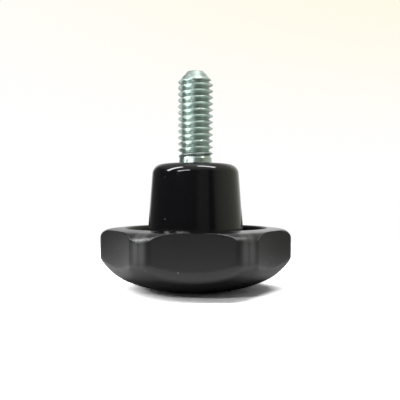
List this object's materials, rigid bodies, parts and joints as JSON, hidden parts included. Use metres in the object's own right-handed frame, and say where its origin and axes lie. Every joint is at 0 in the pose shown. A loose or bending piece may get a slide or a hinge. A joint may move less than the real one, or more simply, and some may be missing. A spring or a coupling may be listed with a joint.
{
  "type": "star knob",
  "caption": "Six-lobed moulded star knob with a tall hub and a moulded-in threaded stud, for clamping or adjusting by hand.",
  "frame": {"origin": "centre of the flat in the middle of the domed head, which the knob rests on", "axes": "+Z along the stud, from the domed head towards the stud's end; +X through the middle of a lobe tip"},
  "size_m": [0.0432, 0.0392, 0.0494],
  "materials": {
    "moulded_body": "black thermoset moulding, glossy hub and satin lobes",
    "plated_steel": "bright zinc plating with a blue-green tint"
  },
  "bodies": {
    "root": {"knob_body": "moulded_body", "threaded_stud": "plated_steel"}
  },
  "joints": []
}
